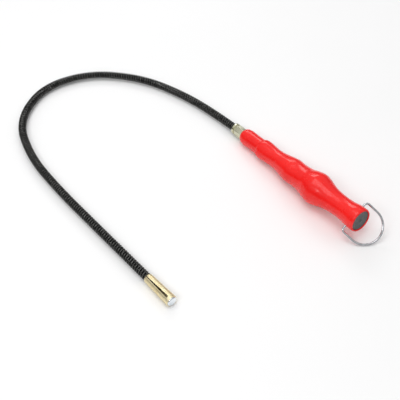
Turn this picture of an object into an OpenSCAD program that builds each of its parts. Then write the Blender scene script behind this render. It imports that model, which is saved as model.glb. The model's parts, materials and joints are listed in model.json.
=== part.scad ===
// Flexible magnetic pick-up tool: a contoured plastic grip, a gooseneck wound from two
// steel wires, and a magnet in a slit brass sleeve. It lies on a table with the gooseneck
// bent round in a wide U. The neck is made in lengths that turn on one another, each a
// band of the outer wire over a band of the inner one. Millimetres, +Z up; +X runs from
// the butt of the grip to its nose, and the origin is under the middle of the whole tool.

/* [Grip] */
// Length of the plastic grip
grip_length = 124; // [115:1:135]
// Radius of the grip at its fattest, under the palm
bulge_r = 12; // [11.5:0.1:13]
// Radius of the hollow behind the nose bore
cavity_r = 6.2; // [5.5:0.1:6.3]
// Radius of the plug pocket in the butt
pocket_r = 7.5; // [7.2:0.1:7.6]
// Depth of the plug pocket
pocket_depth = 3.4; // [2.5:0.1:4]

/* [Ferrule] */
// Length of the hexagon that shows in front of the grip
ferrule_length = 10.5; // [8:0.5:14]
// Radius over the corners of the hexagon
ferrule_r = 4.3; // [4.3:0.1:4.8]
// Radius of the round shank pressed into the grip
shank_r = 3.7; // [3.5:0.05:3.8]
// Length of the shank inside the grip
shank_length = 24; // [16:1:26]

/* [Hanging ring] */
// Width of the ring between the middles of its sides
ring_width = 25.8; // [24:0.2:28]
// Reach of the ring from its hinge to the middle of its arc
ring_reach = 22.6; // [21:0.2:24]
// Radius of the ring's wire
wire_r = 0.8; // [0.6:0.1:1]
// Distance from the butt to the ring's hinge
ring_setback = 6.4; // [6:0.2:8]
// Roll of the hinge about the grip's axis, in degrees
ring_roll = 28; // [0:1:30]
// Droop of the resting ring below the grip's axis, in degrees
ring_droop = 39.5; // [34:0.5:39.5]

/* [Gooseneck] */
// Outer radius of the gooseneck
neck_r = 3; // [2.8:0.1:3]
// Radius at which the outer wire sits on the inner one
wrap_r = 2.25; // [2:0.05:2.4]
// Radius of the hollow down the middle
hollow_r = 1.2; // [0.8:0.1:1.5]

/* [Tip] */
// Length of the brass sleeve
sleeve_length = 25; // [22:0.5:30]
// Radius of the sleeve at the neck
sleeve_neck_r = 3.35; // [3.3:0.05:3.5]
// Radius of the sleeve at the magnet
sleeve_r = 4; // [3.9:0.05:4.2]
// Width of the slit down the sleeve
slit_width = 0.8; // [0.5:0.1:1.2]
// Lean of the slit from the top, in degrees
slit_lean = 24; // [0:1:45]
// Radius of the magnet
magnet_r = 3.5; // [3.3:0.05:3.5]
// How far the magnet stands out of the sleeve
magnet_proud = 0.8; // [0.6:0.1:3]

/* [Hidden] */
$fn = 64;
NECK_LENGTHS = 10;

step = 0.05;         // step between a neck length and its collar and ball, and on the ferrule
lap = 0.3;           // how far a collar or a ball reaches into its neck length
fit = 0.02;          // gap between pieces that sit in one another
running = 0.08;      // gap round the ring's wire in its hole

// Outline of a 124 mm grip of 12 mm radius: distance from the butt, radius
GRIP_KEYS = [
    [0, 8.3], [0.7, 8.75], [2, 8.95], [5, 8.95], [8, 8.65], [12, 8.05], [18, 7.75],
    [22, 7.9], [26, 8.15], [30, 8.75], [34, 9.75], [38, 11], [43, 12], [48, 11.3],
    [54, 9.75], [62, 9.1], [68, 9.4], [72, 8.95], [78, 7.9], [84, 7], [88, 6.8],
    [94, 7.2], [100, 7.6], [104, 6.3], [110, 6.2], [118, 6.36], [120, 6.2],
    [122, 5.5], [123.4, 4.7], [124, 4.1]
];
KEYS = [for (key = GRIP_KEYS) [key.x * grip_length / 124, key.y * bulge_r / 12]];
LAST_KEY = len(KEYS) - 1;

// Slope of the outline at a key: level at a crest or a hollow, smooth between them
function rise(i) = (KEYS[i + 1].y - KEYS[i].y) / (KEYS[i + 1].x - KEYS[i].x);
function slope(i) =
    i == 0 ? rise(0)
    : i == LAST_KEY ? rise(i - 1)
    : rise(i - 1) * rise(i) <= 0 ? 0
    : 2 * rise(i - 1) * rise(i) / (rise(i - 1) + rise(i));
function key_curve(i, u) =
    let (w = KEYS[i + 1].x - KEYS[i].x)
    (2 * u ^ 3 - 3 * u ^ 2 + 1) * KEYS[i].y + (u ^ 3 - 2 * u ^ 2 + u) * w * slope(i)
    + (3 * u ^ 2 - 2 * u ^ 3) * KEYS[i + 1].y + (u ^ 3 - u ^ 2) * w * slope(i + 1);
OUTLINE = [
    for (i = [0 : LAST_KEY - 1], u = i == LAST_KEY - 1 ? [0, 0.5, 1] : [0, 0.5])
        [KEYS[i].x + u * (KEYS[i + 1].x - KEYS[i].x), key_curve(i, u)]
];

// The grip lies on its bulge and on its nose, so it tips nose down
nose_key = [for (key = KEYS) if (key.x == 118 * grip_length / 124) key][0];
bulge_key = [for (key = KEYS) if (key.y == max([for (k = KEYS) k.y])) key][0];
tilt = atan((bulge_key.y - nose_key.y) / (nose_key.x - bulge_key.x));
butt_height = max([for (p = OUTLINE) p.x * sin(tilt) + p.y * cos(tilt)]);

// The gooseneck's lengths: how long each is, and how far it turns to the left. The first
// starts at the ferrule's front and is as long as it takes to come down to the table.
NECK_BENDS = [
    [0, 7.4], [45, 12.3], [45, 24.2], [40, 35.4], [40, 44.5],
    [46, 40.2], [44, 15], [44, 3.5], [40, 0], [41, 0]
];
// Each length starts with a straight collar, cupped round the ball of the length before
collar_start = neck_r / 2;
collar_end = neck_r + 0.2;
ball_r = neck_r - step;
cup_gap = 0.2;
ferrule_front = grip_length + ferrule_length;
neck_start = [
    ferrule_front * cos(tilt), 0, butt_height - ferrule_front * sin(tilt)
];
start_way = [cos(tilt), 0, -sin(tilt)];
first_way = [cos(NECK_BENDS[0].y), sin(NECK_BENDS[0].y), 0];
first_turn = acos(start_way * first_way);
first_mean = (start_way + first_way) / norm(start_way + first_way);
first_chord = (neck_start.z - sleeve_r) / -first_mean.z;
first_r = first_chord / 2 / sin(first_turn / 2);

function heading(k) = k == 0 ? 0 : heading(k - 1) + NECK_BENDS[k - 1].y;
function arc_length(k) = NECK_BENDS[k].x - collar_end;
function bend_r(k) = arc_length(k) * 180 / PI / NECK_BENDS[k].y;
// Where a length gets to from its pivot: straight through its collar, then a share u of
// the way round its arc
function stride(k, u) =
    let (turn = u * NECK_BENDS[k].y, start = heading(k), mean = start + turn / 2)
    let (chord = turn == 0 ? u * arc_length(k) : 2 * bend_r(k) * sin(turn / 2))
    collar_end * [cos(start), sin(start), 0] + chord * [cos(mean), sin(mean), 0];
function pivot(k) =
    k == 0 ? neck_start
    : k == 1 ? neck_start + first_chord * first_mean
    : pivot(k - 1) + stride(k - 1, 1);

// The ring's hinge and the way the ring hangs, before the tool is centred
ring_bow = ring_width / 2;
ring_side = ring_reach - ring_bow;
ring_corner = 2.5;
ring_end = 2.5;
hinge = [
    ring_setback * cos(tilt), 0, butt_height - ring_setback * sin(tilt)
];
hinge_way = [sin(ring_roll) * -sin(tilt), cos(ring_roll), -sin(ring_roll) * cos(tilt)];
grip_up = [cos(ring_roll) * sin(tilt), sin(ring_roll), cos(ring_roll) * cos(tilt)];
ring_way = -cos(ring_droop) * start_way - sin(ring_droop) * grip_up;
function bow_point(a) =
    hinge + ring_side * ring_way + ring_bow * (cos(a) * hinge_way + sin(a) * ring_way);

// The whole tool's extent, which sets the origin
NECK_POINTS = [
    for (k = [1 : NECK_LENGTHS - 1], u = [0 : 0.02 : 1]) pivot(k) + stride(k, u)
];
BOW_POINTS = [for (a = [0 : 1 : 180]) bow_point(a)];
low_x = min([for (p = BOW_POINTS) p.x]) - wire_r;
high_x = max([for (p = NECK_POINTS) p.x]) + neck_r;
low_y = min(min([for (p = BOW_POINTS) p.y]) - wire_r, -bulge_key.y);
high_y = max([for (p = NECK_POINTS) p.y]) + neck_r;

// How far the neck goes into the grip and into the sleeve, and where the sleeve's slit
// ends in its relief hole, just short of the magnet's pocket
neck_in_grip = shank_length + ferrule_length + 4;
neck_in_sleeve = 13;
slit_end = 0.88 * sleeve_length;
pocket_start = slit_end + slit_width + 0.1;
magnet_length = sleeve_length - pocket_start + magnet_proud;

module centred() {
    translate([-(low_x + high_x) / 2, -(low_y + high_y) / 2, 0]) children();
}

// Everything on the grip's axis is drawn along +Z and laid down by this
module along_grip() {
    centred() translate([0, 0, butt_height]) rotate([0, tilt, 0])
        rotate([0, 90, 0]) children();
}

// A frame at the start of a neck length, +X along the neck, bending towards +Y
module at_length(k) {
    if (k == 0) {
        z_way = cross(start_way, first_way) / sin(first_turn);
        y_way = cross(z_way, start_way);
        multmatrix([
            [start_way.x, y_way.x, z_way.x, neck_start.x],
            [start_way.y, y_way.y, z_way.y, neck_start.y],
            [start_way.z, y_way.z, z_way.z, neck_start.z],
            [0, 0, 0, 1]
        ]) children();
    } else {
        translate(pivot(k)) rotate([0, 0, heading(k)]) children();
    }
}

// A tube that follows the arc of a neck length
module bent_tube(k, outer, inner) {
    turn = k == 0 ? first_turn : NECK_BENDS[k].y;
    about = k == 0 ? first_r : bend_r(k);
    at_length(k) translate([k == 0 ? 0 : collar_end, about, 0]) rotate([0, 0, -90])
        rotate_extrude(angle = turn) translate([about, 0]) difference() {
            circle(r = outer);
            circle(r = inner);
        }
}

// A straight tube on the axis of a neck length
module straight_tube(k, outer, inner, from, to) {
    at_length(k) translate([from, 0, 0]) rotate([0, 90, 0]) difference() {
        cylinder(r = outer, h = to - from);
        translate([0, 0, -1]) cylinder(r = inner, h = to - from + 2);
    }
}

// The ball that a length ends in, which turns in the next length's collar
module ball_end(k, inner) {
    mouth = sqrt(ball_r ^ 2 - inner ^ 2);
    at_length(k) rotate([0, 90, 0]) rotate_extrude(angle = 360) intersection() {
        circle(r = ball_r);
        translate([inner, -lap]) square([ball_r, mouth + lap]);
    }
}

// The collar that a length starts with, coned inside to clear the ball
module collar(k, outer, inner) {
    lip = sqrt((ball_r + cup_gap) ^ 2 - collar_start ^ 2);
    throat = sqrt((ball_r + cup_gap) ^ 2 - inner ^ 2);
    at_length(k) rotate([0, 90, 0]) rotate_extrude(angle = 360) polygon([
        [lip, collar_start], [outer, collar_start], [outer, collar_end + lap],
        [inner, collar_end + lap], [inner, throat]
    ]);
}

module neck_band(k, outer, inner) {
    last = k == NECK_LENGTHS - 1;
    has_ends = outer == neck_r;
    centred() union() {
        if (NECK_BENDS[k].y > 0) bent_tube(k, outer, inner);
        else straight_tube(k, outer, inner, collar_end,
            NECK_BENDS[k].x + (last ? neck_in_sleeve : 0));
        if (k == 0) straight_tube(k, outer, inner, -neck_in_grip, 0);
        if (k > 0 && has_ends) collar(k, outer - step, inner + step);
        if (!last && has_ends) ball_end(k + 1, inner + step);
    }
}

module handle_grip() {
    color("red") along_grip() difference() {
        rotate_extrude(angle = 360, $fn = 96) polygon(concat(
            [[0, 0]], [for (p = OUTLINE) [p.y, p.x]], [[0, grip_length]]
        ));
        translate([0, 0, -1]) cylinder(r = pocket_r, h = pocket_depth + 1);
        cylinder(r = cavity_r, h = 0.56 * grip_length);
        cylinder(r = shank_r + fit, h = grip_length + 1);
        ring_hole();
    }
}

// The cross hole that the ring swings in
module ring_hole() {
    translate([0, 0, ring_setback]) rotate([0, 0, -ring_roll]) rotate([90, 0, 0])
        cylinder(r = wire_r + running, h = 4 * pocket_r, center = true);
}

module end_plug() {
    recess = 0.5;
    color("dimgray") along_grip() difference() {
        union() {
            translate([0, 0, recess])
                cylinder(r = pocket_r - fit, h = pocket_depth - recess - fit);
            translate([0, 0, pocket_depth - 0.1])
                cylinder(r = cavity_r - fit, h = 2 * ring_setback - pocket_depth);
        }
        translate([0, 0, 1.5 * ring_setback]) cylinder(r = cavity_r - 1.6, h = 20);
        ring_hole();
    }
}

// Hexagon in front of the grip, a round collar at its neck end and a shank behind it
module ferrule() {
    collar_length = 2;
    hex_roll = 7;
    color("lightgray") along_grip() difference() {
        union() {
            translate([0, 0, grip_length - shank_length])
                cylinder(r = shank_r, h = shank_length + 1);
            translate([0, 0, grip_length + fit]) rotate([0, 0, hex_roll])
                cylinder(r = ferrule_r, h = ferrule_length - 0.5 * collar_length, $fn = 6);
            translate([0, 0, grip_length + ferrule_length - collar_length])
                cylinder(r = ferrule_r + step, h = collar_length);
        }
        translate([0, 0, grip_length - shank_length - 1])
            cylinder(r = neck_r + fit, h = shank_length + ferrule_length + 2);
    }
}

// Collar crimped on the neck's end, which stops it pulling out through the ferrule
module neck_end_collar() {
    collar_length = 4 - fit;
    color("gray") along_grip() difference() {
        translate([0, 0, grip_length - shank_length - fit - collar_length])
            cylinder(r = shank_r, h = collar_length);
        translate([0, 0, grip_length - shank_length - fit - collar_length - 1])
            cylinder(r = neck_r + fit, h = collar_length + 2);
    }
}

// Wire bail: an arc, two sides and two ends sprung into the cross hole
module hanging_ring() {
    arm = ring_side - ring_corner;
    stub_length = ring_bow - ring_corner - ring_end;
    color("silver") centred() multmatrix([
        [hinge_way.x, ring_way.x, cross(hinge_way, ring_way).x, hinge.x],
        [hinge_way.y, ring_way.y, cross(hinge_way, ring_way).y, hinge.y],
        [hinge_way.z, ring_way.z, cross(hinge_way, ring_way).z, hinge.z],
        [0, 0, 0, 1]
    ]) {
        translate([0, ring_side, 0]) rotate_extrude(angle = 180, $fn = 96)
            translate([ring_bow, 0]) circle(r = wire_r);
        for (side = [0, 1]) mirror([side, 0, 0]) {
            translate([ring_bow, ring_corner, 0]) rotate([-90, 0, 0])
                cylinder(r = wire_r, h = arm);
            translate([ring_bow - ring_corner, ring_corner, 0]) rotate([0, 0, -90])
                rotate_extrude(angle = 90, $fn = 96)
                    translate([ring_corner, 0]) circle(r = wire_r);
            translate([ring_end, 0, 0]) rotate([0, 90, 0])
                cylinder(r = wire_r, h = stub_length);
        }
    }
}

module neck_outer_wire(k) {
    color([0.2, 0.2, 0.2]) neck_band(k - 1, neck_r, wrap_r + fit);
}

module neck_inner_wire(k) {
    color([0.3, 0.3, 0.3]) neck_band(k - 1, wrap_r - fit, hollow_r);
}

// Everything on the tip's axis is drawn along +Z from the sleeve's neck end
module along_tip() {
    centred() translate(pivot(NECK_LENGTHS)) rotate([0, 0, heading(NECK_LENGTHS)])
        rotate([0, 90, 0]) children();
}

// Tapered brass sleeve, slit from the neck end to a relief hole so it can be squeezed on
module tip_sleeve() {
    color("khaki") along_tip() difference() {
        cylinder(r1 = sleeve_neck_r, r2 = sleeve_r, h = sleeve_length);
        translate([0, 0, -1]) cylinder(r = neck_r + fit, h = sleeve_length + 2);
        translate([0, 0, pocket_start])
            cylinder(r = magnet_r + fit, h = sleeve_length);
        rotate([0, 0, 180 + slit_lean]) {
            translate([0, -slit_width / 2, -1])
                cube([2 * sleeve_r, slit_width, slit_end + 1]);
            translate([0, 0, slit_end]) rotate([0, 90, 0])
                cylinder(r = slit_width, h = 2 * sleeve_r);
        }
    }
}

module magnet() {
    chamfer = 0.5;
    color("white") along_tip() translate([0, 0, pocket_start + fit]) {
        cylinder(r = magnet_r, h = magnet_length - chamfer - fit);
        translate([0, 0, magnet_length - chamfer - fit])
            cylinder(r1 = magnet_r, r2 = magnet_r - chamfer, h = chamfer);
    }
}

handle_grip();
end_plug();
ferrule();
neck_end_collar();
hanging_ring();
for (k = [1 : NECK_LENGTHS]) {
    neck_outer_wire(k);
    neck_inner_wire(k);
}
tip_sleeve();
magnet();
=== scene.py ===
# Flexible magnetic pick-up tool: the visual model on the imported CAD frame.
# Lengths in this file are millimetres, turned to metres by MM where a mesh is made.
import json
from math import acos, atan2, cos, pi, radians, sin

import bpy
from mathutils import Matrix, Vector


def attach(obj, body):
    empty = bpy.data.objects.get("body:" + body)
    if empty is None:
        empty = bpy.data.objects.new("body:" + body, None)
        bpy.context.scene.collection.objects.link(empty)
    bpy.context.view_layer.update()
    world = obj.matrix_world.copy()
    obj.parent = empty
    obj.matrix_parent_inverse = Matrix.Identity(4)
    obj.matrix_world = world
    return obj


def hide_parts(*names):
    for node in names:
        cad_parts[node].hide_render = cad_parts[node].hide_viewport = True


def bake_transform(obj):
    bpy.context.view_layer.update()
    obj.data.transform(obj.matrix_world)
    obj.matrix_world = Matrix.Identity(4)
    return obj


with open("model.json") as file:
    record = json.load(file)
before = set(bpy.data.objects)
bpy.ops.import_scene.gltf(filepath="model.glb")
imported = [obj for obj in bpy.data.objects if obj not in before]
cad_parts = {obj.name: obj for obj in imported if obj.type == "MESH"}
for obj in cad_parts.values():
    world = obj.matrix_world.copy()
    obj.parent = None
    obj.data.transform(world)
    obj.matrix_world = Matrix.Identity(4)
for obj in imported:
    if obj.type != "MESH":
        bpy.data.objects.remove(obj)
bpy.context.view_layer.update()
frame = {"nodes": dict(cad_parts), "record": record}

MM = 0.001
UP = Vector((0, 0, 1))

# ---------------------------------------------------------------- driving dimensions
GRIP_LENGTH = 124
# Outline of the grip: distance from the butt, radius. It follows the CAD outline, with a
# sharper step behind the nose.
GRIP_KEYS = [
    (0.7, 8.7), (2, 8.95), (5, 8.95), (8, 8.65), (12, 8.05), (18, 7.75), (22, 7.9),
    (26, 8.15), (30, 8.75), (34, 9.75), (38, 11), (43, 12), (48, 11.3), (54, 9.75),
    (62, 9.1), (68, 9.4), (72, 8.95), (78, 7.9), (84, 7), (88, 6.8), (94, 7.2),
    (100, 7.6), (102, 7.35), (102.8, 6.95), (103.3, 6.4), (104, 6.26), (110, 6.2),
    (118, 6.36), (120.6, 6.2), (122.4, 5.6), (123.5, 4.8),
]
BULGE = (43, 12)
NOSE = (118, 6.36)
POCKET_R, POCKET_DEPTH, CAVITY_R, CAVITY_LENGTH = 7.5, 3.4, 6.2, 69.4
SHANK_R, SHANK_LENGTH = 3.7, 24
FERRULE_LENGTH, FERRULE_R, FERRULE_ROLL, COLLAR_LENGTH = 10.5, 4.3, 7, 2
RING_WIDTH, RING_REACH, RING_SETBACK, RING_DROOP = 25.8, 22.6, 6.4, 39.5
RING_CORNER, RING_END, RING_WIRE_R = 2.5, 2.5, 0.8
# The ring's hole through the grip and through the plug, cut by a rod this long each way
GRIP_HOLE_R, PLUG_HOLE_R, HOLE_REACH = 1.0, 0.9, 12
# The mould line: degrees round from the side, half its width in degrees, height
SEAM_TURN, SEAM_HALF_ANGLE, SEAM_HEIGHT = 12, 2, 0.07
# The gooseneck's lengths as in the CAD model: length, turn to the left in degrees. The
# first length is worked out below, from the first joint's place.
NECK_BENDS = [
    (0, 7.4), (45, 12.3), (45, 24.2), (40, 35.4), (40, 44.5),
    (46, 40.2), (44, 15), (44, 3.5), (40, 0), (41, 0),
]
NECK_R, NECK_COLLAR_END = 3, 3.2
COIL_PITCH = 2.1
# Where the wires start and end: from the ferrule's front, and from the sleeve's neck end
WIRE_START, WIRE_IN_SLEEVE = -6, 10
SLEEVE_LENGTH, SLEEVE_NECK_R, SLEEVE_R = 25, 3.35, 4
# The slit: half its width at the neck end and at the round end, lean in degrees, where its
# straight sides end
SLIT_HALF_NARROW, SLIT_HALF_WIDE, SLIT_LEAN, SLIT_END = 0.2, 0.8, 24, 22
MAGNET_START, MAGNET_R, MAGNET_PROUD = 22.9, 3.5, 0.8

# ---------------------------------------------------------------- camera and light
CAMERA_AT = Vector((-370.1, 257.5, 437)) * MM
CAMERA_WAY = Vector((0.5515, -0.4225, -0.7193))
CAMERA_LENS = 76.2


def add_camera():
    data = bpy.data.cameras.new("camera")
    data.lens = CAMERA_LENS
    data.sensor_width = 36
    camera = bpy.data.objects.new("camera", data)
    camera.location = CAMERA_AT
    camera.rotation_euler = CAMERA_WAY.to_track_quat("-Z", "Y").to_euler()
    bpy.context.collection.objects.link(camera)
    bpy.context.scene.camera = camera


def add_area(name, place, size, power):
    data = bpy.data.lights.new(name, "AREA")
    data.shape = "RECTANGLE"
    data.size, data.size_y = size
    data.energy = power
    lamp = bpy.data.objects.new(name, data)
    lamp.location = place
    lamp.rotation_euler = (-Vector(place)).to_track_quat("-Z", "Y").to_euler()
    bpy.context.collection.objects.link(lamp)


def sky_gradient(tree, background):
    """A studio room: pale overhead and grey towards the walls, for metal to reflect."""
    place = tree.nodes.new("ShaderNodeTexCoord")
    parts = tree.nodes.new("ShaderNodeSeparateXYZ")
    ramp = tree.nodes.new("ShaderNodeValToRGB")
    stops = ramp.color_ramp.elements
    stops[0].position, stops[0].color = 0.12, (0.1, 0.1, 0.11, 1)
    stops[1].position, stops[1].color = 0.62, (1, 1, 1, 1)
    tree.links.new(place.outputs["Generated"], parts.inputs["Vector"])
    tree.links.new(parts.outputs["Z"], ramp.inputs["Fac"])
    tree.links.new(ramp.outputs["Color"], background.inputs["Color"])


def add_light():
    world = bpy.data.worlds.new("studio")
    world.use_nodes = True
    background = world.node_tree.nodes["Background"]
    sky_gradient(world.node_tree, background)
    background.inputs["Strength"].default_value = 0.75
    bpy.context.scene.world = world
    bpy.context.scene.view_settings.view_transform = "Standard"
    add_area("key", (-0.35, 0.75, 0.8), (0.5, 0.25), 2.6)
    add_area("top", (0.15, 0.1, 1.1), (0.7, 0.7), 3.4)
    add_area("rim", (0.7, -0.5, 0.6), (0.5, 0.2), 1.2)


# ---------------------------------------------------------------- materials
class Paint:
    """A procedural material under construction: a Principled shader and its helpers."""

    def __init__(self, name, color, roughness, metallic=0.0):
        self.material = bpy.data.materials.new(name)
        self.material.use_nodes = True
        self.tree = self.material.node_tree
        self.shader = self.tree.nodes["Principled BSDF"]
        self.set("Base Color", (*color, 1))
        self.set("Roughness", roughness)
        self.set("Metallic", metallic)
        self.place = self.node("ShaderNodeTexCoord").outputs["Object"]

    def set(self, socket, value):
        self.shader.inputs[socket].default_value = value

    def node(self, kind):
        return self.tree.nodes.new(kind)

    def link(self, start, end):
        self.tree.links.new(start, end)

    def stretched(self, scale):
        """The object's coordinates, scaled by a different amount along each axis."""
        mapping = self.node("ShaderNodeMapping")
        mapping.inputs["Scale"].default_value = scale
        self.link(self.place, mapping.inputs["Vector"])
        return mapping.outputs["Vector"]

    def noise(self, per_metre, detail=3, where=None):
        texture = self.node("ShaderNodeTexNoise")
        texture.inputs["Scale"].default_value = per_metre
        texture.inputs["Detail"].default_value = detail
        self.link(where or self.place, texture.inputs["Vector"])
        return texture.outputs["Fac"]

    def spread(self, value, low, high, start=0.3, stop=0.7):
        """Takes value from start..stop to low..high."""
        ranged = self.node("ShaderNodeMapRange")
        for socket, number in zip(ranged.inputs[1:5], (start, stop, low, high)):
            socket.default_value = number
        self.link(value, ranged.inputs["Value"])
        return ranged.outputs["Result"]

    def color_between(self, value, one, other):
        mix = self.node("ShaderNodeMix")
        mix.data_type = "RGBA"
        mix.inputs["A"].default_value = (*one, 1)
        mix.inputs["B"].default_value = (*other, 1)
        self.link(value, mix.inputs["Factor"])
        self.link(mix.outputs["Result"], self.shader.inputs["Base Color"])

    def rough_from(self, value, low, high):
        self.link(self.spread(value, low, high), self.shader.inputs["Roughness"])

    def bump(self, value, height_mm, strength=1.0):
        bump = self.node("ShaderNodeBump")
        bump.inputs["Distance"].default_value = height_mm * MM
        bump.inputs["Strength"].default_value = strength
        self.link(value, bump.inputs["Height"])
        self.link(bump.outputs["Normal"], self.shader.inputs["Normal"])


def red_plastic():
    paint = Paint("red_plastic", (0.9, 0.009, 0.007), 0.24)
    clouds = paint.spread(paint.noise(60), 0, 1)
    paint.color_between(clouds, (0.87, 0.007, 0.006), (0.94, 0.013, 0.01))
    paint.rough_from(paint.noise(420, 5), 0.18, 0.3)
    paint.bump(paint.noise(700, 4), 0.008)
    paint.set("Specular IOR Level", 0.3)
    paint.set("Subsurface Weight", 0.05)
    paint.set("Subsurface Radius", (0.004, 0.0008, 0.0006))
    paint.set("Coat Weight", 0.2)
    paint.set("Coat Roughness", 0.1)
    return paint.material


def dark_plastic():
    paint = Paint("dark_plastic", (0.07, 0.077, 0.077), 0.45)
    clouds = paint.spread(paint.noise(300), 0, 1)
    paint.color_between(clouds, (0.052, 0.058, 0.058), (0.095, 0.102, 0.102))
    paint.rough_from(paint.noise(700, 4), 0.34, 0.55)
    paint.bump(paint.noise(2600, 4), 0.05)
    return paint.material


def plated_steel():
    paint = Paint("plated_steel", (0.7, 0.68, 0.52), 0.25, 1.0)
    drawn = paint.noise(700, 4, paint.stretched((0.12, 1, 1)))
    paint.color_between(paint.spread(drawn, 0, 1), (0.6, 0.59, 0.42), (0.72, 0.71, 0.54))
    paint.rough_from(drawn, 0.12, 0.24)
    paint.bump(drawn, 0.012)
    return paint.material


def inner_steel():
    paint = Paint("inner_steel", (0.45, 0.45, 0.46), 0.4, 1.0)
    turned = paint.noise(900, 4, paint.stretched((1, 0.15, 0.15)))
    paint.rough_from(turned, 0.3, 0.5)
    paint.bump(turned, 0.03)
    return paint.material


def ring_steel():
    paint = Paint("ring_steel", (0.5, 0.51, 0.53), 0.14, 1.0)
    clouds = paint.spread(paint.noise(500), 0, 1)
    paint.color_between(clouds, (0.42, 0.43, 0.45), (0.6, 0.61, 0.63))
    paint.rough_from(paint.noise(1200, 5), 0.08, 0.2)
    paint.bump(paint.noise(2200, 3), 0.012)
    return paint.material


def black_steel():
    """The outer wire: oxide-black steel, with random lighter patches painted in as speckled
    highlight.
    """
    paint = Paint("black_steel", (0.1, 0.1, 0.1), 0.22, 0.9)
    # painted highlight: random lighter patches stand in for the glints along the wire's turns
    clouds = paint.spread(paint.noise(520, 4), 0, 1)
    paint.color_between(clouds, (0.02, 0.02, 0.019), (0.13, 0.13, 0.125))
    paint.rough_from(paint.noise(900, 4), 0.14, 0.32)
    paint.bump(paint.noise(2500, 3), 0.015)
    return paint.material


def painted_shade_steel():
    """The inner wire, painted near black as painted shade, so that it shows only as a dark line
    between the outer wire's turns.
    """
    # painted shade: near-black colour, far darker than the outer wire's steel, for the shade in
    # the grooves
    paint = Paint("painted_shade_steel", (0.004, 0.004, 0.004), 0.6)
    clouds = paint.spread(paint.noise(420, 4), 0, 1)
    paint.color_between(clouds, (0.002, 0.002, 0.002), (0.007, 0.007, 0.007))
    paint.rough_from(paint.noise(900, 4), 0.5, 0.7)
    paint.bump(paint.noise(2500, 3), 0.015)
    paint.set("Specular IOR Level", 0.25)
    return paint.material


def brass():
    paint = Paint("brass", (0.82, 0.7, 0.42), 0.42, 1.0)
    turned = paint.noise(1400, 4, paint.stretched((1, 0.12, 0.12)))
    clouds = paint.spread(paint.noise(220, 4), 0, 1)
    paint.color_between(clouds, (0.76, 0.63, 0.36), (0.88, 0.78, 0.52))
    paint.rough_from(turned, 0.36, 0.5)
    paint.bump(turned, 0.02)
    return paint.material


def bright_plate():
    paint = Paint("bright_plate", (0.82, 0.86, 0.9), 0.16, 1.0)
    clouds = paint.spread(paint.noise(400), 0, 1)
    paint.color_between(clouds, (0.74, 0.79, 0.84), (0.9, 0.93, 0.95))
    paint.rough_from(paint.noise(1600, 4), 0.1, 0.24)
    paint.bump(paint.noise(2600, 3), 0.01)
    return paint.material


def pale_floor():
    paint = Paint("pale_floor", (0.93, 0.93, 0.93), 0.7)
    clouds = paint.spread(paint.noise(8), 0, 1)
    paint.color_between(clouds, (0.925, 0.925, 0.925), (0.935, 0.935, 0.935))
    paint.rough_from(paint.noise(40), 0.65, 0.75)
    return paint.material


# ---------------------------------------------------------------- mesh helpers
def add_mesh(name, points, faces, material, matrix=Matrix.Identity(4), sharp=35):
    """points in millimetres, in the frame that matrix places; sharp edges past an angle."""
    mesh = bpy.data.meshes.new(name)
    mesh.from_pydata([(matrix @ Vector(p)) * MM for p in points], [], faces)
    mesh.materials.append(material)
    mesh.polygons.foreach_set("use_smooth", [True] * len(mesh.polygons))
    mesh.set_sharp_from_angle(angle=radians(sharp))
    piece = bpy.data.objects.new(name, mesh)
    bpy.context.collection.objects.link(piece)
    return piece


def rings_to_mesh(rings, closed_loop=False):
    """Skins a row of rings of points. Open rows get a cap at each end."""
    count = len(rings[0])
    points = [p for ring in rings for p in ring]
    faces = []
    for i in range(len(rings) - (0 if closed_loop else 1)):
        here, there = i * count, (i + 1) % len(rings) * count
        for j in range(count):
            k = (j + 1) % count
            faces.append((here + j, here + k, there + k, there + j))
    if not closed_loop:
        faces.append(tuple(reversed(range(count))))
        faces.append(tuple(range(len(points) - count, len(points))))
    return points, faces


def lathe(outline, sides=96, bump=lambda x, r, a: 0.0):
    """Turns a closed outline of (distance along X, radius) about X."""
    angles = [2 * pi * j / sides for j in range(sides)]
    rings = []
    for x, r in outline:
        grown = [r + bump(x, r, a) for a in angles]
        rings.append([(x, g * cos(a), g * sin(a)) for g, a in zip(grown, angles)])
    points, faces = rings_to_mesh(rings, closed_loop=True)
    return points, [tuple(reversed(f)) for f in faces]


def cut(piece, cutter):
    """Takes cutter out of piece for good."""
    modifier = piece.modifiers.new("cut", "BOOLEAN")
    modifier.operation = "DIFFERENCE"
    modifier.solver = "EXACT"
    modifier.object = cutter
    bpy.context.view_layer.update()
    shape = piece.evaluated_get(bpy.context.evaluated_depsgraph_get())
    mesh = bpy.data.meshes.new_from_object(shape)
    piece.modifiers.clear()
    old, piece.data = piece.data, mesh
    bpy.data.meshes.remove(old)
    mesh.set_sharp_from_angle(angle=radians(35))
    bpy.data.objects.remove(cutter)


def rod(start, end, r, sides=24):
    """A plain rod between two points, used only to cut holes."""
    start, end = Vector(start), Vector(end)
    way = (end - start).normalized()
    side = way.orthogonal().normalized()
    other = way.cross(side)
    rings = []
    for middle in (start, end):
        rings.append([
            middle + r * (cos(a) * side + sin(a) * other)
            for a in (2 * pi * j / sides for j in range(sides))
        ])
    return rings_to_mesh(rings)


# ---------------------------------------------------------------- where things lie
def joint(name):
    return next(j for j in frame["record"]["behaviour"]["joints"] if j["name"] == name)


def neck_joint(k):
    kind = "turn" if k % 2 else "lift"
    return Vector(joint(f"neck_{kind}_{k}")["pos_m"]) / MM


tilt = atan2(BULGE[1] - NOSE[1], NOSE[0] - BULGE[0])
grip_way = Vector((cos(tilt), 0, -sin(tilt)))
grip_side = Vector((0, 1, 0))
grip_up = grip_way.cross(grip_side)
hinge = Vector(joint("ring_swing")["pos_m"]) / MM
hinge_way = Vector(joint("ring_swing")["axis"]).normalized()
butt = hinge - RING_SETBACK * grip_way


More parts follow.
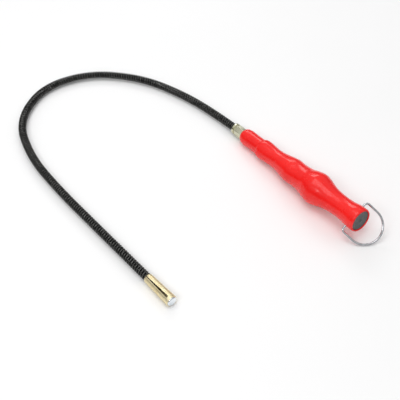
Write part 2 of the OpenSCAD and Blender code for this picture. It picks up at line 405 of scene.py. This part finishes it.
def axes_at(origin, x_way, y_way, z_way):
    return Matrix((
        (x_way.x, y_way.x, z_way.x, origin.x),
        (x_way.y, y_way.y, z_way.y, origin.y),
        (x_way.z, y_way.z, z_way.z, origin.z),
        (0, 0, 0, 1),
    ))


GRIP_FRAME = axes_at(butt, grip_way, grip_side, grip_up)


# ---------------------------------------------------------------- the gooseneck's path
def level_way(degrees_left):
    return Vector((cos(radians(degrees_left)), sin(radians(degrees_left)), 0))


def headings():
    turned, out = 0, [0]
    for _, turn in NECK_BENDS:
        turned += turn
        out.append(turned)
    return out


HEADINGS = headings()
neck_start = butt + (GRIP_LENGTH + FERRULE_LENGTH) * grip_way
first_turn = acos(grip_way.dot(level_way(HEADINGS[1])))
first_chord = (neck_joint(1) - neck_start).length
first_length = first_chord / 2 / sin(first_turn / 2) * first_turn
LENGTHS = [first_length] + [length for length, _ in NECK_BENDS[1:]]
STARTS = [sum(LENGTHS[:k]) for k in range(len(LENGTHS) + 1)]
LAST = len(NECK_BENDS) - 1


def on_first(s):
    """Place and direction on the first length, which bends down level and to the left."""
    if s < 0:
        return neck_start + s * grip_way, grip_way
    radius = first_length / first_turn
    goal = level_way(HEADINGS[1])
    across = (goal - goal.dot(grip_way) * grip_way).normalized()
    a = s / radius
    place = neck_start + radius * (sin(a) * grip_way + (1 - cos(a)) * across)
    return place, cos(a) * grip_way + sin(a) * across


def on_neck(s):
    """Place and direction at a distance s along the neck from the ferrule's front."""
    k = max([i for i in range(LAST + 1) if STARTS[i] <= s] or [0])
    if k == 0:
        return on_first(s)
    length, turn = NECK_BENDS[k]
    went = s - STARTS[k]
    start, way = neck_joint(k), level_way(HEADINGS[k])
    if went <= NECK_COLLAR_END or turn == 0:
        return start + went * way, way
    radius = (length - NECK_COLLAR_END) / radians(turn)
    a = (went - NECK_COLLAR_END) / radius
    left = Vector((-way.y, way.x, 0))
    place = start + NECK_COLLAR_END * way + radius * (sin(a) * way + (1 - cos(a)) * left)
    return place, cos(a) * way + sin(a) * left


def coil(name, start, end, middle_r, half_width, half_height, phase, steps, sides, material):
    """A wire wound on the neck's path between two distances along it."""
    per_turn = COIL_PITCH / steps
    first, last = round(start / per_turn), round(end / per_turn)
    rings = []
    for i in range(first, last + 1):
        place, way = on_neck(i * per_turn)
        side = UP.cross(way).normalized()
        up = way.cross(side)
        a = 2 * pi * (i / steps + phase)
        out = cos(a) * side + sin(a) * up
        middle = place + middle_r * out
        rings.append([
            middle + half_width * cos(b) * way + half_height * sin(b) * out
            for b in (2 * pi * j / sides for j in range(sides))
        ])
    return add_mesh(name, *rings_to_mesh(rings), material, sharp=80)


# ---------------------------------------------------------------- the pieces
def slope(keys, i):
    def rise(j):
        return (keys[j + 1][1] - keys[j][1]) / (keys[j + 1][0] - keys[j][0])

    if i == 0:
        return rise(0)
    if i == len(keys) - 1:
        return rise(i - 1)
    before, after = rise(i - 1), rise(i)
    return 0 if before * after <= 0 else 2 * before * after / (before + after)


def smooth_outline(keys, steps):
    """Points on the same smooth curve through the keys that the CAD grip has."""
    out = []
    for i in range(len(keys) - 1):
        (x0, r0), (x1, r1) = keys[i], keys[i + 1]
        wide = x1 - x0
        for n in range(steps):
            u = n / steps
            r = (
                (2 * u**3 - 3 * u**2 + 1) * r0 + (u**3 - 2 * u**2 + u) * wide * slope(keys, i)
                + (3 * u**2 - 2 * u**3) * r1 + (u**3 - u**2) * wide * slope(keys, i + 1)
            )
            out.append((x0 + u * wide, r))
    return out + [keys[-1]]


def seam(x, r, a):
    """The faint mould line down each side of the grip."""
    near = abs((a + radians(SEAM_TURN)) % pi - pi / 2)
    outside = r > CAVITY_R and 2 < x < GRIP_LENGTH - 4 and r > POCKET_R - 1.2
    return SEAM_HEIGHT * max(0.0, 1 - near / radians(SEAM_HALF_ANGLE)) if outside else 0.0


def drill_for_ring(piece, r, material):
    reach = HOLE_REACH * hinge_way
    cut(piece, add_mesh("hole", *rod(hinge - reach, hinge + reach, r), material))


def handle_grip(material):
    outer = smooth_outline(GRIP_KEYS, 6)
    rim = [(0.25, 8.45), (0.02, 8.1), (0, 7.95), (0.05, 7.75), (0.3, 7.56)]
    nose = [(123.8, 4.35), (124, 4.0), (124, SHANK_R + 0.05)]
    inside = [
        (100, SHANK_R + 0.05), (CAVITY_LENGTH, SHANK_R + 0.05), (CAVITY_LENGTH, CAVITY_R),
        (POCKET_DEPTH, CAVITY_R), (POCKET_DEPTH, POCKET_R), (0.8, POCKET_R),
    ]
    outline = rim[::-1] + outer + nose + inside
    points, faces = lathe(outline, 192, seam)
    grip = add_mesh("grip", points, faces, material, GRIP_FRAME, 50)
    drill_for_ring(grip, GRIP_HOLE_R, material)
    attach(grip, "handle")
    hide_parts("handle_grip")


def end_plug(material):
    face = 0.45
    outline = [
        (face + 0.35, 0.01), (face + 0.3, 1.0), (face + 0.02, 1.15), (face + 0.25, 1.9),
        (face + 0.32, 4.6), (face + 0.1, 6.0), (face, 6.5), (face + 0.04, 6.95),
        (face + 0.25, 7.3), (face + 0.6, 7.45), (POCKET_DEPTH - 0.05, 7.45),
        (POCKET_DEPTH - 0.05, CAVITY_R - 0.05), (2 * RING_SETBACK, CAVITY_R - 0.05),
        (2 * RING_SETBACK, 4.6), (1.5 * RING_SETBACK, 4.6), (1.5 * RING_SETBACK, 0.01),
    ]
    points, faces = lathe(outline, 96)
    plug = add_mesh("plug", points, faces, material, GRIP_FRAME, 50)
    drill_for_ring(plug, PLUG_HOLE_R, material)
    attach(plug, "handle")
    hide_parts("end_plug")


def hex_radius(angle, over_corners, corner_cut):
    """Radius of a hexagon with turned-off corners, in a direction."""
    off = (angle - radians(FERRULE_ROLL)) % (pi / 3) - pi / 6
    return min(over_corners * cos(pi / 6) / cos(off), over_corners - corner_cut)


def ferrule(material):
    sides = 144
    angles = [2 * pi * j / sides for j in range(sides)]
    front = GRIP_LENGTH + FERRULE_LENGTH - COLLAR_LENGTH
    over = FERRULE_R + 0.06
    # distance from the butt, radius over the corners, and how far the corners are turned off
    hexagon = [
        (GRIP_LENGTH + 0.03, over - 0.25, 0.2), (GRIP_LENGTH + 0.3, over, 0.08),
        (front - 0.55, over, 0.08), (front - 0.2, over - 0.1, 0.14), (front, over - 0.3, 0.2),
    ]
    shank_back = GRIP_LENGTH - SHANK_LENGTH
    bore = NECK_R + 0.06
    tip = GRIP_LENGTH + FERRULE_LENGTH
    collar = [
        (front + 0.02, 3.7), (front + 0.12, 3.66), (front + 0.25, over - 0.2),
        (front + 0.45, over), (tip - 0.3, over), (tip - 0.08, over - 0.12),
        (tip, over - 0.35), (tip, bore + 0.25), (tip - 0.2, bore),
        (shank_back, bore), (shank_back, SHANK_R - 0.1), (shank_back + 0.2, SHANK_R),
        (GRIP_LENGTH - 0.05, SHANK_R),
    ]
    rings = []
    for x, corner_r, off in hexagon:
        radii = [hex_radius(a, corner_r, off) for a in angles]
        rings.append([(x, -r * sin(a), -r * cos(a)) for r, a in zip(radii, angles)])
    for x, r in collar:
        rings.append([(x, -r * sin(a), -r * cos(a)) for a in angles])
    points, faces = rings_to_mesh(rings, closed_loop=True)
    piece = add_mesh("ferrule_nut", points, faces, material, GRIP_FRAME, 22)
    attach(piece, "handle")
    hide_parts("ferrule")


def hanging_ring(material):
    """The bail: one end in the hole, out, round a corner, round the bow and back again."""
    up = hinge_way.cross(
        -cos(radians(RING_DROOP)) * grip_way
        - sin(radians(RING_DROOP)) * grip_way.cross(hinge_way)
    )
    down = up.cross(hinge_way)
    bow, arm = RING_WIDTH / 2, RING_REACH - RING_WIDTH / 2
    half = [(RING_END, 0.0), (RING_END + 4, 0.0), (bow - RING_CORNER - 0.5, 0.0)]
    for i in range(9):
        a = radians(90 * i / 8)
        half.append((
            bow - RING_CORNER + RING_CORNER * sin(a), RING_CORNER - RING_CORNER * cos(a)
        ))
    half += [(bow, RING_CORNER + (arm - RING_CORNER) * i / 4) for i in (1, 2, 3)]
    arc = [
        (bow * cos(radians(a)), arm + bow * sin(radians(a))) for a in range(0, 181, 4)
    ]
    flat = half + arc + [(-u, v) for u, v in reversed(half)]
    path = [hinge + u * hinge_way + v * down for u, v in flat]
    rings, sides = [], 20
    for i, place in enumerate(path):
        before, after = path[max(i - 1, 0)], path[min(i + 1, len(path) - 1)]
        way = (after - before).normalized()
        across = way.cross(up).normalized()
        for inset, share in end_rounding(i, len(path)):
            rings.append([
                place + inset * way + RING_WIRE_R * share * (cos(b) * across + sin(b) * up)
                for b in (2 * pi * j / sides for j in range(sides))
            ])
    points, faces = rings_to_mesh(rings)
    ring = add_mesh("wire_ring", points, faces, material, sharp=60)
    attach(ring, "ring")
    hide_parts("hanging_ring")


def end_rounding(i, count):
    """Rounds the wire's ends: (shift along it, share of its radius) of each ring here."""
    if i == 0:
        return [(0, 0.55), (0.12, 0.85), (0.35, 1)]
    if i == count - 1:
        return [(-0.35, 1), (-0.12, 0.85), (0, 0.55)]
    return [(0, 1)]


def body_of_length(k):
    return "handle" if k == 0 else f"neck_{k + 1}"


def gooseneck(outer_material, inner_material):
    """Two wires wound side by side, in pieces that each span one joint.

    The crests of the outer wire lie 0.1 outside NECK_R.
    """
    wires = {
        "outer": dict(
            middle_r=2.5, half_width=0.58, half_height=0.6, phase=0, steps=28, sides=8,
            material=outer_material,
        ),
        "inner": dict(
            middle_r=1.8, half_width=0.6, half_height=0.5, phase=0.5, steps=24, sides=6,
            material=inner_material,
        ),
    }
    middles = [STARTS[k] + LENGTHS[k] / 2 for k in range(LAST + 1)]
    for k in range(1, LAST + 1):
        start = WIRE_START if k == 1 else middles[k - 1]
        end = STARTS[-1] + WIRE_IN_SLEEVE if k == LAST else middles[k]
        for layer, shape in wires.items():
            piece = coil(f"neck_{layer}_{k}", start, end, **shape)
            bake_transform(piece)
            replaced = [f"neck_{layer}_wire_{k}"]
            if k == LAST:
                replaced.append(f"neck_{layer}_wire_{k + 1}")
            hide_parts(*replaced)


def tip_frame():
    place, way = on_neck(STARTS[-1])
    side = UP.cross(way).normalized()
    return axes_at(place, way, side, way.cross(side))


def tip_sleeve(material):
    def taper(x):
        return SLEEVE_NECK_R + (SLEEVE_R - SLEEVE_NECK_R) * x / SLEEVE_LENGTH

    steps = 12
    wall = [
        (x, taper(x))
        for x in (0.25 + (SLEEVE_LENGTH - 0.6) * i / steps for i in range(steps + 1))
    ]
    end = SLEEVE_LENGTH
    outline = [(0.06, SLEEVE_NECK_R - 0.12)] + wall + [
        (end - 0.1, taper(end) - 0.08), (end, taper(end) - 0.22), (end, MAGNET_R + 0.1),
        (end - 0.1, MAGNET_R + 0.03), (MAGNET_START, MAGNET_R + 0.03),
        (MAGNET_START, NECK_R + 0.05), (0.1, NECK_R + 0.05), (0, NECK_R + 0.12),
    ]
    matrix = tip_frame()
    points, faces = lathe(outline, 96)
    sleeve = add_mesh("sleeve", points, faces, material, matrix, 40)
    lean = radians(SLIT_LEAN)
    # seen from behind the tip, the slit leans from the top towards the tool's own left
    out = Vector((0, -sin(lean), cos(lean)))
    across = Vector((0, cos(lean), sin(lean)))
    # the slit is a narrow wedge, open at the neck end and round at its wide end
    narrow, wide = SLIT_HALF_NARROW, SLIT_HALF_WIDE
    edge = [(-1, -narrow), (SLIT_END, -wide)]
    edge += [
        (SLIT_END + wide * sin(radians(a)), -wide * cos(radians(a))) for a in range(15, 180, 15)
    ]
    edge += [(SLIT_END, wide), (-1, narrow)]
    slit = add_mesh("slit", *rings_to_mesh([
        [Vector((x, 0, 0)) + side * across + height * out for x, side in edge]
        for height in (1, 6)
    ]), material, matrix)
    cut(sleeve, slit)
    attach(sleeve, body_of_length(LAST))
    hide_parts("tip_sleeve")


def magnet(material):
    end = SLEEVE_LENGTH + MAGNET_PROUD
    outline = [
        (MAGNET_START + 0.1, 0.01), (MAGNET_START + 0.1, MAGNET_R - 0.1),
        (MAGNET_START + 0.3, MAGNET_R), (end - 0.75, MAGNET_R),
        (end - 0.55, MAGNET_R - 0.05), (end - 0.12, MAGNET_R - 0.42),
        (end - 0.02, MAGNET_R - 0.62), (end, MAGNET_R - 0.85), (end, 1.6), (end, 0.01),
    ]
    points, faces = lathe(outline, 96)
    piece = add_mesh("magnet_slug", points, faces, material, tip_frame(), 50)
    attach(piece, body_of_length(LAST))
    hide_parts("magnet")


def paint_node(node, material):
    shown = frame["nodes"][node]
    shown.data.materials.clear()
    shown.data.materials.append(material)


def add_floor(material):
    reach, drop = 12000, -0.02
    points = [(x * reach, y * reach, drop) for x, y in ((-1, -1), (1, -1), (1, 1), (-1, 1))]
    add_mesh("floor", points, [(0, 1, 2, 3)], material)


add_camera()
add_light()
add_floor(pale_floor())
handle_grip(red_plastic())
end_plug(dark_plastic())
ferrule(plated_steel())
paint_node("neck_end_collar", inner_steel())
hanging_ring(ring_steel())
gooseneck(black_steel(), painted_shade_steel())
tip_sleeve(brass())
magnet(bright_plate())
